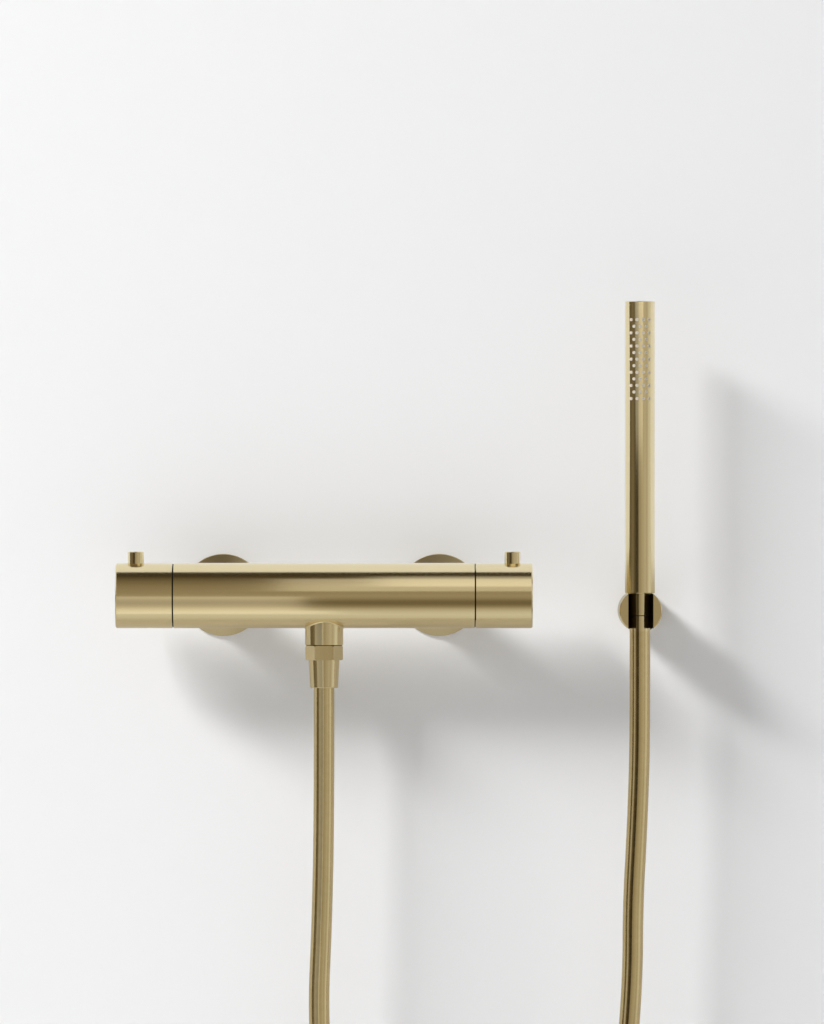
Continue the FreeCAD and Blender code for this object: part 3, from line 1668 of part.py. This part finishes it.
springs = []
mixer_body()
washers = []
for side_name, side_sign in SIDES:
    wall_union(side_name, side_sign)
    rosette(side_name, side_sign)
    washers.append(inlet_parts(side_name, side_sign))
keep(group("inlet_washers", *washers))
keep(group("check_springs", *springs))
cartridge()
shutoff()
cold_wall = 360 - s.cold_travel - 2 * s.stop_margin
flow_wall = 360 - s.flow_travel - 2 * s.stop_margin
cold_turn = 180 + s.cold_travel + s.stop_margin
rib_turn = 180 - s.hot_travel - s.stop_margin - s.hot_rib_angle
stop_ring("temperature_stop_ring", right_face, "X", cold_wall, cold_turn, rib_turn)
stop_ring("flow_stop_ring", left_face, "-X", flow_wall, 180 - s.stop_margin)
button_x = handle("temperature", right_face, "X", s.pin_radius + s.run_gap)
safety_button(button_x)
safety_catch()
grip_pin(handle("flow", left_face, "-X", s.pin_radius + s.fit_gap))
hose_low_end = outlet()
hose(hose_low_end, hose_end())
handset()
holder()
write_pieces()
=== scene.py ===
"""The looks of a wall-mounted thermostatic shower mixer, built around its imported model.

Lengths are metres, in the frame of the model: the wall is the plane Y = 0, the room is on its -Y
side, +Z is up, and the origin is midway between the two wall inlets.
"""
import math

import bpy
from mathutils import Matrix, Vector

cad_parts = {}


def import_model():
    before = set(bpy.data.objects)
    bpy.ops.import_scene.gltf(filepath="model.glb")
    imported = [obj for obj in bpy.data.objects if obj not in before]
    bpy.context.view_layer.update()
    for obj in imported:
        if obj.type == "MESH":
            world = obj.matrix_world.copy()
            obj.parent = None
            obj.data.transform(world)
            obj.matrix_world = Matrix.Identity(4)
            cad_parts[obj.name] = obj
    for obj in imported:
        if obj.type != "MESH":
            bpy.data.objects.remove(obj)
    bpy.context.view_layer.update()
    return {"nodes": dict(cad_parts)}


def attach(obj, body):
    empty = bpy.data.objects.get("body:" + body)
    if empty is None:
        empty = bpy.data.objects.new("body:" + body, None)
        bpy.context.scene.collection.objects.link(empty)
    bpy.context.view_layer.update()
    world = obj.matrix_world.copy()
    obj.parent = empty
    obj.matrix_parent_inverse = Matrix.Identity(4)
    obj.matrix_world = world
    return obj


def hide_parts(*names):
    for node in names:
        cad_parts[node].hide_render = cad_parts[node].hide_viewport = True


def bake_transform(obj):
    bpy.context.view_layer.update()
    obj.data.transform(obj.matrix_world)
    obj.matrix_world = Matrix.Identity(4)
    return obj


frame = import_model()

# Camera
CAMERA_DISTANCE = 8.0
CAMERA_X = 0.0561
CAMERA_Z = 0.0576
CAMERA_LENS = 404.6  # mm
CAMERA_REACH = 50.0

# Main axes of the mixer
STANDOFF = 0.062
BODY_X = -0.0045
HANDSET_X = 0.2133
HOLDER_X = 0.2137

# Slot of the holder: half its width with a hair's breadth, and just in front of its back
SLOT_HALF = 0.00865
SLOT_BACK = -0.0525

# Dark rings in the seams, painted as the shadow of the narrow gaps: inner and outer radius, low
# and high end
OUTLET_SEAM_SHADOW = (0.0099, 0.0125, -0.03459, -0.03411)
NECK_SEAM_SHADOW = (0.0060, 0.00733, -0.01415, -0.01362)
SEAM_SIDES = 96

# Hose: the route's points between its two ends, as (x, z) in the plane of the mixer's axis
HOSE_RADIUS = 0.0071
HOSE_SIDES = 40
HOSE_STEPS = 14
HOSE_START = (BODY_X, -0.0476)
HOSE_END = (HANDSET_X, -0.0246)
ROUTE = [
    (-0.0045, -0.1100), (-0.0049, -0.1760), (-0.0063, -0.2320), (-0.0086, -0.2830),
    (-0.0059, -0.3360), (-0.0015, -0.4000), (0.0040, -0.4620), (0.0120, -0.5200),
    (0.0380, -0.5610), (0.0800, -0.5850), (0.1280, -0.5865), (0.1710, -0.5640),
    (0.1965, -0.5200), (0.1975, -0.4590), (0.1990, -0.3970), (0.2030, -0.3330),
    (0.2083, -0.2660), (0.2085, -0.2140), (0.2111, -0.1650), (0.2130, -0.1160),
    (0.2133, -0.0700),
]

# Faces that meet at less than this many degrees are shaded as one
SMOOTH_BELOW = 40.0


def camera():
    """The photograph's view: level, from far away, looking straight at the wall."""
    data = bpy.data.cameras.new("camera")
    data.lens = CAMERA_LENS
    data.clip_end = CAMERA_REACH
    seen_from = bpy.data.objects.new("camera", data)
    seen_from.location = (CAMERA_X, -CAMERA_DISTANCE, CAMERA_Z)
    seen_from.rotation_euler = (math.radians(90), 0, 0)
    bpy.context.scene.collection.objects.link(seen_from)
    bpy.context.scene.camera = seen_from


def mesh_object(name, points, faces):
    """A mesh piece, smooth except along its edges."""
    mesh = bpy.data.meshes.new(name)
    mesh.from_pydata([tuple(p) for p in points], [], faces)
    mesh.validate()
    mesh.shade_smooth()
    mesh.set_sharp_from_angle(angle=math.radians(SMOOTH_BELOW))
    piece = bpy.data.objects.new(name, mesh)
    bpy.context.scene.collection.objects.link(piece)
    return piece


def centreline(name, points, steps):
    """Points read along one smooth open NURBS spline that has these control points."""
    data = bpy.data.curves.new(name, "CURVE")
    data.dimensions = "3D"
    data.resolution_u = steps
    spline = data.splines.new("NURBS")
    spline.points.add(len(points) - 1)
    for control, point in zip(spline.points, points):
        control.co = (*point, 1.0)
    spline.order_u = 3
    spline.use_endpoint_u = True
    line = bpy.data.objects.new(name, data)
    bpy.context.scene.collection.objects.link(line)
    bpy.context.view_layer.update()
    mesh = bpy.data.meshes.new_from_object(line)
    found = [v.co.copy() for v in mesh.vertices]
    bpy.data.objects.remove(line)
    bpy.data.meshes.remove(mesh)
    return found


def tube(name, path, radius, sides):
    """A closed tube round a path, its rings turned as little as possible from one to the next."""
    points, faces = [], []
    side = Vector((0, 1, 0))
    for index, centre in enumerate(path):
        before = path[max(index - 1, 0)]
        after = path[min(index + 1, len(path) - 1)]
        along = (after - before).normalized()
        side = (side - along * side.dot(along)).normalized()
        other = along.cross(side)
        for step in range(sides):
            angle = 2 * math.pi * step / sides
            points.append(centre + radius * (math.cos(angle) * side + math.sin(angle) * other))
    for ring in range(len(path) - 1):
        for step in range(sides):
            here = ring * sides + step
            beside = ring * sides + (step + 1) % sides
            faces.append((here, beside, beside + sides, here + sides))
    faces.append(tuple(reversed(range(sides))))
    faces.append(tuple(range((len(path) - 1) * sides, len(path) * sides)))
    return mesh_object(name, points, faces)


def hose():
    """The smooth shower hose, from the ferrule through one hanging loop to the handset."""
    flat = [HOSE_START, *ROUTE, HOSE_END]
    points = [Vector((x, -STANDOFF, z)) for x, z in flat]
    path = centreline("hose_line", points, HOSE_STEPS)
    piece = tube("hose", path, HOSE_RADIUS, HOSE_SIDES)
    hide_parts("shower_hose")
    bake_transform(piece)
    return piece


def seam_shadow(name, body, x, sizes):
    """A flat dark ring painted as the shadow in the narrow gap between two metal pieces, round the
    upright axis at x.
    """
    inner, outer, low, high = sizes
    points, faces = [], []
    for step in range(SEAM_SIDES):
        angle = 2 * math.pi * step / SEAM_SIDES
        for radius, z in ((inner, low), (outer, low), (outer, high), (inner, high)):
            points.append((x + radius * math.cos(angle), radius * math.sin(angle) - STANDOFF, z))
        here, ahead = 4 * step, 4 * ((step + 1) % SEAM_SIDES)
        for corner in range(4):
            after = (corner + 1) % 4
            faces.append((here + corner, ahead + corner, ahead + after, here + after))
    piece = mesh_object(name, points, faces)
    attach(piece, body)
    return piece


class Nodes:
    """Short names for a material's or the world's shader nodes."""

    def __init__(self, tree, keep=False):
        self.tree = tree
        if not keep:
            tree.nodes.clear()

    def add(self, kind, inputs=None, **settings):
        node = self.tree.nodes.new("ShaderNode" + kind)
        for key, value in settings.items():
            setattr(node, key, value)
        for key, value in (inputs or {}).items():
            self.put(node, key, value)
        return node

    def put(self, node, key, value):
        if isinstance(value, bpy.types.NodeSocket):
            self.tree.links.new(value, node.inputs[key])
        else:
            node.inputs[key].default_value = value

    def math(self, operation, first, second=0.0):
        return self.add("Math", {0: first, 1: second}, operation=operation).outputs[0]

    def axes(self, coordinates):
        """X, Y and Z of this kind of texture coordinate."""
        place = self.add("TexCoord").outputs[coordinates]
        return self.add("SeparateXYZ", {0: place}).outputs

    def span(self, value, low, high, to_low, to_high, smooth=False):
        kind = "SMOOTHSTEP" if smooth else "LINEAR"
        inputs = {
            "Value": value, "From Min": low, "From Max": high, "To Min": to_low, "To Max": to_high,
        }
        return self.add("MapRange", inputs, interpolation_type=kind).outputs["Result"]

    def colours(self, share, first, second):
        """A mix of two colours, each of them three numbers or another node's output."""
        inputs = {0: share}
        for key, colour in ((6, first), (7, second)):
            linked = isinstance(colour, bpy.types.NodeSocket)
            inputs[key] = colour if linked else (*colour, 1.0)
        return self.add("Mix", inputs, data_type="RGBA").outputs[2]

    def ramp(self, value, stops):
        node = self.add("ValToRGB", {"Fac": value})
        elements = node.color_ramp.elements
        while len(elements) < len(stops):
            elements.new(0.5)
        for element, (place, colour) in zip(elements, stops):
            element.position = place
            element.color = (*colour, 1.0)
        return node.outputs["Color"]


GRAIN_SHARE, CLOUD_SHARE = 0.6, 0.4  # of fine grain and of soft clouds in the colour
CLOUD_SCALE = 18.0
COLOUR_SPAN = (0.35, 0.65)  # noise values at the two ends of the colour
ROUGH_SPAN = (0.3, 0.7)  # and of the roughness
BUMP_DISTANCE = 0.0002


def material(name, colour, low_colour, metallic, roughness, streak, bump_strength, gloss=0.5):
    """A finish whose colour, roughness and height vary finely.

    streak is the noise scale along X, Y and Z, so a small number on one axis draws the grain out
    along it.
    """
    made = bpy.data.materials.new(name)
    made.use_nodes = True
    nodes = Nodes(made.node_tree)
    place = nodes.add("TexCoord").outputs["Object"]
    grain_place = nodes.add("Mapping", {"Vector": place, "Scale": streak}).outputs[0]
    grain = nodes.add("TexNoise", {
        "Vector": grain_place, "Scale": 1.0, "Detail": 4.0, "Roughness": 0.6,
    })
    cloud = nodes.add("TexNoise", {"Vector": place, "Scale": CLOUD_SCALE, "Detail": 2.0})
    share = nodes.math("ADD", nodes.math("MULTIPLY", grain.outputs[0], GRAIN_SHARE),
                       nodes.math("MULTIPLY", cloud.outputs[0], CLOUD_SHARE))
    base = nodes.colours(nodes.span(share, *COLOUR_SPAN, 0.0, 1.0), low_colour, colour)
    rough = nodes.span(grain.outputs[0], *ROUGH_SPAN, *roughness)
    bump = nodes.add("Bump", {
        "Height": grain.outputs[0], "Strength": bump_strength, "Distance": BUMP_DISTANCE,
    })
    shader = nodes.add("BsdfPrincipled", {
        "Base Color": base, "Metallic": metallic, "Roughness": rough,
        "Specular IOR Level": gloss, "Normal": bump.outputs[0],
    })
    nodes.add("OutputMaterial", {"Surface": shader.outputs[0]})
    return made


BRASS = (0.76, 0.645, 0.385)
BRASS_LOW = (0.735, 0.62, 0.36)
BRASS_ROUGHNESS = (0.14, 0.18)
BRASS_BUMP = 0.02
# painted shade for the inside of the holder's slot
SLOT_PAINTED_SHADE = (0.05, 0.035, 0.018)
SLOT_ROUGHNESS = 0.6
ALONG, ACROSS = 6.0, 900.0  # noise scale along and across the grain


def satin_brass(name, streak):
    return material(name, BRASS, BRASS_LOW, 1.0, BRASS_ROUGHNESS, streak, BRASS_BUMP)


def holder_brass():
    """The holder's brass, rough on the cut faces of its slot, with those faces painted dark as
    shade.
    """
    made = satin_brass("holder_brass", (ACROSS, ALONG, ACROSS))
    nodes = Nodes(made.node_tree, keep=True)
    shader = next(node for node in made.node_tree.nodes if node.type == "BSDF_PRINCIPLED")
    brass, rough = (
        shader.inputs[key].links[0].from_socket for key in ("Base Color", "Roughness"))
    x, y, _ = nodes.axes("Object")
    aside = nodes.math("ABSOLUTE", nodes.math("SUBTRACT", x, HOLDER_X))
    within = nodes.math("MULTIPLY", nodes.math("LESS_THAN", aside, SLOT_HALF),
                        nodes.math("LESS_THAN", y, SLOT_BACK))
    slot_rough = nodes.math("MULTIPLY", within, SLOT_ROUGHNESS)
    # painted shade: the faces inside the slot take the dark colour
    nodes.put(shader, "Base Color", nodes.colours(within, brass, SLOT_PAINTED_SHADE))
    nodes.put(shader, "Roughness", nodes.math("MAXIMUM", rough, slot_rough))
    return made


def even(scale):
    """A grain that is equally fine along X, Y and Z."""
    return (scale, scale, scale)


OTHER_FINISHES = {  # colour, its darker tone, metallic, roughness, noise scale, bump, gloss
    # painted shade: a darker copy of the satin brass that darkens the rosettes' reflections; it is
    # also rougher
    "rosette_painted_shade_brass": (
        (0.60, 0.50, 0.29), (0.57, 0.47, 0.27), 1.0, (0.34, 0.40), (ACROSS, ALONG, ACROSS), 0.03),
    "bare_brass": (
        (0.72, 0.50, 0.22), (0.62, 0.42, 0.17), 1.0, (0.3, 0.42), even(700.0), 0.15),
    "steel": (
        (0.62, 0.61, 0.59), (0.52, 0.51, 0.50), 1.0, (0.22, 0.34), even(600.0), 0.1),
    "black_plastic": (
        (0.012, 0.010, 0.008), (0.008, 0.007, 0.006), 0.0, (0.5, 0.6), even(1500.0), 0.2, 0.2),
    "white_plastic": (
        (0.72, 0.72, 0.69), (0.66, 0.66, 0.63), 0.0, (0.32, 0.44), even(1500.0), 0.1),
    "ceramic": (
        (0.78, 0.77, 0.74), (0.73, 0.72, 0.69), 0.0, (0.12, 0.2), even(900.0), 0.05),
    "seal_rubber": (
        (0.012, 0.011, 0.010), (0.008, 0.007, 0.007), 0.0, (0.55, 0.7), even(1200.0), 0.2, 0.2),
    "silicone": (
        (0.78, 0.70, 0.58), (0.72, 0.64, 0.52), 0.0, (0.4, 0.5), even(1400.0), 0.1),
    "hose_skin": (
        (0.72, 0.60, 0.34), (0.66, 0.54, 0.29), 1.0, (0.13, 0.19), even(220.0), 0.03),
}


def finishes():
    """Every finish by name. The satin brass has one for each direction of its grain."""
    made = {name: material(name, *values) for name, values in OTHER_FINISHES.items()}
    made["holder_brass"] = holder_brass()
    for axis, streak in (("x", (ALONG, ACROSS, ACROSS)), ("y", (ACROSS, ALONG, ACROSS)),
                         ("z", (ACROSS, ACROSS, ALONG))):
        name = f"satin_brass_{axis}"
        made[name] = satin_brass(name, streak)
    return made


DARK_TINT, BRIGHT_TINT = (1.0, 0.75, 0.37), (1.0, 1.0, 0.98)
TINT_FADE = 1.3


def shade(level):
    """The colour of a reflected surface this bright: warm where dark, plain where bright."""
    share = min(TINT_FADE * level, 1.0)
    return [level * (low + (high - low) * share) for low, high in zip(DARK_TINT, BRIGHT_TINT)]


def levels(stops, low, high):
    """Stops for a ramp from low to high, given as (value, brightness)."""
    return [((value - low) / (high - low), shade(level)) for value, level in stops]


TILTS = [  # degrees above the horizon, and how bright the studio is there to what shines
    (-90, 0.30), (-40, 0.15), (-22, 0.20), (-14, 0.30), (-6, 0.38), (0, 0.41), (8, 0.36),
    (20, 0.33), (36, 0.28), (44, 0.23), (52, 0.20), (60, 0.15), (68, 0.09), (76, 0.05), (90, 0.05),
]
TURNS = [  # degrees from straight ahead, to the right
    (-180, 0.30), (-100, 0.25), (-94, 0.10), (-76, 0.15), (-58, 0.22), (-48, 0.16), (-38, 0.09),
    (-22, 0.03), (-14, 0.05), (-6, 0.38), (6, 0.48), (24, 0.50), (39, 0.60), (55, 0.50),
    (73, 0.76), (94, 0.70), (120, 0.5), (180, 0.30),
]
FILL = 0.33  # brightness of the studio as a light
SEEN_BACKDROP = 0.9  # and as a backdrop in view
LEVEL_FADE = (4, 16)  # degrees from the horizon over which TURNS give way to TILTS
AHEAD_FADE = (4, 14)  # degrees from straight ahead over which TILTS give way to TURNS


def world():
    """A soft even studio for the room. What shines sees its bands of light and shade instead."""
    scene_world = bpy.data.worlds.new("studio")
    scene_world.use_nodes = True
    bpy.context.scene.world = scene_world
    nodes = Nodes(scene_world.node_tree)
    x, y, z = nodes.axes("Generated")
    tilt = nodes.math("ARCSINE", z)
    turn = nodes.math("ARCTAN2", x, nodes.math("MULTIPLY", y, -1.0))
    quarter = math.pi / 2
    by_tilt = nodes.ramp(nodes.span(tilt, -quarter, quarter, 0.0, 1.0), levels(TILTS, -90, 90))
    by_turn = nodes.ramp(nodes.span(turn, -math.pi, math.pi, 0.0, 1.0), levels(TURNS, -180, 180))
    level = nodes.span(nodes.math("ABSOLUTE", tilt), *map(math.radians, LEVEL_FADE), 1.0, 0.0,
                       smooth=True)
    ahead = nodes.span(nodes.math("ABSOLUTE", turn), *map(math.radians, AHEAD_FADE), 0.0, 1.0,
                       smooth=True)
    shine = nodes.colours(nodes.math("MULTIPLY", level, ahead), by_tilt, by_turn)
    path = nodes.add("LightPath")
    plain = nodes.span(path.outputs["Is Camera Ray"], 0.0, 1.0, FILL, SEEN_BACKDROP)
    grey = nodes.add("CombineColor", {0: plain, 1: plain, 2: plain}).outputs[0]
    seen = nodes.colours(path.outputs["Is Glossy Ray"], grey, shine)
    background = nodes.add("Background", {"Color": seen, "Strength": 1.0})
    nodes.add("OutputWorld", {"Surface": background.outputs[0]})


def aim(thing, target):
    thing.rotation_euler = (Vector(target) - thing.location).to_track_quat("-Z", "Y").to_euler()


def lamp(name, place, target, size, power, colour=(1.0, 1.0, 1.0)):
    data = bpy.data.lights.new(name, "AREA")
    data.shape = "RECTANGLE"
    data.size, data.size_y = size
    data.energy = power
    data.color = colour
    thing = bpy.data.objects.new(name, data)
    thing.location = place
    aim(thing, target)
    thing.visible_camera = False
    bpy.context.scene.collection.objects.link(thing)
    return thing


KEY_PLACE = (-3.35, -2.55, 3.1)
KEY_TARGET = (0.05, 0.0, 0.0)
KEY_POWER = 250.0
KEY_SIZE = (2.3, 0.85)
KEY_SHINE = 1.4
CARD_TINT = (1.0, 1.02, 1.06)
BAR_YZ = (-0.08, 0.005)
CARDS = {  # place, target, size and brightness
    "card_key": (KEY_PLACE, KEY_TARGET, KEY_SIZE, KEY_SHINE),
    "card_right_high": ((0.20, -0.309, 0.298), (0.20, *BAR_YZ), (0.34, 0.27), 0.38),
    "card_right_wide": ((0.16, -0.355, 0.225), (0.16, *BAR_YZ), (0.40, 0.31), 0.36),
    "card_low_left": ((-0.15, -0.25, -0.13), (-0.15, 0.0, -0.13), (0.26, 0.24), 0.30),
    "card_hose_left": ((-0.14, -0.25, -0.35), (-0.14, 0.0, -0.35), (0.28, 0.20), 0.30),
}


def lamps():
    """One soft key lamp for the room, and softboxes that only what shines sees."""
    key = lamp("key", KEY_PLACE, KEY_TARGET, KEY_SIZE, KEY_POWER)
    key.visible_glossy = False
    for name, (place, target, size, level) in CARDS.items():
        card = lamp(name, place, target, size, level * math.pi * size[0] * size[1], CARD_TINT)
        card.visible_diffuse = False


def one_sided(nodes, shader):
    """The shader from the front, and nothing from behind."""
    behind = nodes.add("NewGeometry").outputs["Backfacing"]
    clear = nodes.add("BsdfTransparent")
    return nodes.add("MixShader", {0: behind, 1: shader.outputs[0], 2: clear.outputs[0]})


STUDIO_REACH, FLOOR_Z = 3.0, -0.75
WALL_COLOUR, FLOOR_COLOUR = (0.90, 0.90, 0.905), (0.80, 0.80, 0.80)
PLASTER_SCALE, PLASTER_BUMP, PLASTER_ROUGHNESS = 60.0, 0.02, 0.9
WALL_SHINE_LOW = 0.42  # brightness of the wall to what shines, under the inlets
WALL_SHINE_HIGH = (1.0, 1.04, 1.12)  # and its colour above them
WALL_SHINE_FADE = 0.03  # height over which the one turns into the other
WALL_SHINE_SHARE = 0.65
FLOOR_DEPTHS = [  # metres in front of the wall, and how bright the floor is there to what shines
    (-3.0, 0.25), (-2.1, 0.21), (-1.5, 0.19), (-1.2, 0.24), (-0.94, 0.36), (-0.76, 0.53),
    (-0.54, 0.68), (-0.36, 0.76), (-0.22, 0.74), (-0.12, 0.70), (0.0, 0.60),
]


def floor_shine(nodes, depth, height, glossy):
    """Colour of the floor to what shines, by its depth, and how much of it shows."""
    shown = nodes.ramp(nodes.span(depth, -STUDIO_REACH, 0.0, 0.0, 1.0),
                       levels(FLOOR_DEPTHS, -STUDIO_REACH, 0.0))
    return shown, glossy


def wall_shine(nodes, depth, height, glossy):
    """Colour of the wall to what shines, by its height, and how much of it shows."""
    above = nodes.span(height, 0.0, WALL_SHINE_FADE, 0.0, 1.0, smooth=True)
    shown = nodes.colours(above, shade(WALL_SHINE_LOW), WALL_SHINE_HIGH)
    return shown, nodes.math("MULTIPLY", glossy, WALL_SHINE_SHARE)


def backdrop(name, corners, colour, shine):
    """A pale matt sheet of plaster that what shines sees in its own bands of light."""
    piece = mesh_object(name, corners, [(0, 1, 2, 3)])
    made = bpy.data.materials.new(name)
    made.use_nodes = True
    nodes = Nodes(made.node_tree)
    plaster = nodes.add("TexNoise", {"Scale": PLASTER_SCALE, "Detail": 3.0})
    bump = nodes.add("Bump", {"Height": plaster.outputs[0], "Strength": PLASTER_BUMP})
    shader = nodes.add("BsdfPrincipled", {
        "Base Color": (*colour, 1.0), "Roughness": PLASTER_ROUGHNESS, "Specular IOR Level": 0.0,
        "Normal": bump.outputs[0],
    })
    _, depth, height = nodes.axes("Object")
    glossy = nodes.add("LightPath").outputs["Is Glossy Ray"]
    shown, share = shine(nodes, depth, height, glossy)
    glow = nodes.add("Emission", {"Color": shown})
    shader = nodes.add("MixShader", {0: share, 1: shader.outputs[0], 2: glow.outputs[0]})
    nodes.add("OutputMaterial", {"Surface": one_sided(nodes, shader).outputs[0]})
    piece.data.materials.append(made)
    return piece


def studio():
    """Pale wall behind the mixer and pale floor well under the hose."""
    reach = STUDIO_REACH
    wall = backdrop("wall", [
        (-reach, 0, FLOOR_Z), (reach, 0, FLOOR_Z), (reach, 0, reach), (-reach, 0, reach),
    ], WALL_COLOUR, wall_shine)
    floor = backdrop("floor", [
        (-reach, -reach, FLOOR_Z), (reach, -reach, FLOOR_Z),
        (reach, 0, FLOOR_Z), (-reach, 0, FLOOR_Z),
    ], FLOOR_COLOUR, floor_shine)


X_GRAIN = ("mixer_body", "flow_handle", "temperature_handle")
Z_GRAIN = (
    "handset_tube", "handset_cap", "hose_nut", "hose_ferrule", "cone_nut", "hose_end_tail",
    "flow_pin", "safety_button",
)
OWN_FINISH = {
    # the rosettes take the darker brass, as painted shade
    "holder_body": "holder_brass", "hot_rosette": "rosette_painted_shade_brass", "cold_rosette": "rosette_painted_shade_brass",
}


def finish_name(name, slot_name):
    """The finish of a node: its slot's, or for satin brass the one with its own grain."""
    if slot_name != "satin_brass":
        return slot_name
    grain = "x" if name in X_GRAIN else "z" if name in Z_GRAIN else "y"
    return OWN_FINISH.get(name, f"satin_brass_{grain}")


def dress(made):
    """Gives each node of the model the finish of its material slot."""
    for name, piece in frame["nodes"].items():
        finish = made[finish_name(name, piece.data.materials[0].name)]
        for place in piece.material_slots:
            place.link = "OBJECT"
            place.material = finish


camera()
hose_piece = hose()
made = finishes()
hose_piece.data.materials.append(made["hose_skin"])
dress(made)
outlet = seam_shadow("outlet_seam_shadow", "root", BODY_X, OUTLET_SEAM_SHADOW)
neck = seam_shadow("neck_seam_shadow", "hose_end", HANDSET_X, NECK_SEAM_SHADOW)
# the seal rubber finish makes these rings the painted shadow in the seams
for ring in (outlet, neck):
    ring.data.materials.append(made["seal_rubber"])
world()
lamps()
studio()
bpy.context.scene.view_settings.view_transform = "Standard"
